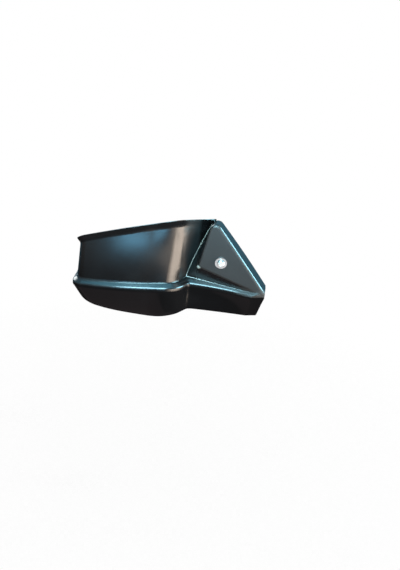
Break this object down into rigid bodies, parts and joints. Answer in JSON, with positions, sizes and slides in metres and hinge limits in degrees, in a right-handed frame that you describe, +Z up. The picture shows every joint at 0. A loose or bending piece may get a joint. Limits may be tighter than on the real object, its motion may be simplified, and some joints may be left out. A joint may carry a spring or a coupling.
{
  "type": "motorcycle hand guard",
  "caption": "Right-hand hand guard: a moulded plastic shell with a flared lip and a raised fixing panel, on a folded steel bracket with a split clamp for the handlebar.",
  "frame": {"origin": "centre of the handlebar clamp's bore", "axes": "+X along the handlebar towards the middle of the motorcycle, +Y back towards the rider, +Z up"},
  "size_m": [0.2631, 0.1172, 0.1499],
  "materials": {
    "shell_plastic": "satin black, lightly grained",
    "black_steel": "black powder coat",
    "black_aluminium": "black anodised",
    "bright_steel": "bright stainless",
    "zinc_steel": "zinc plated",
    "black_oxide_steel": "black oxide",
    "nylon": "natural nylon"
  },
  "bodies": {
    "root": {"guard_shell": "shell_plastic", "mount_bracket": "black_steel", "clamp_front": "black_aluminium", "clamp_rear": "black_aluminium", "shell_washer": "bright_steel", "shell_screw": "bright_steel", "shell_nut": "zinc_steel", "shell_nut_ring": "nylon", "clamp_washers": "zinc_steel", "clamp_screws": "black_oxide_steel", "clamp_nuts": "zinc_steel", "clamp_nut_rings": "nylon"}
  },
  "joints": []
}
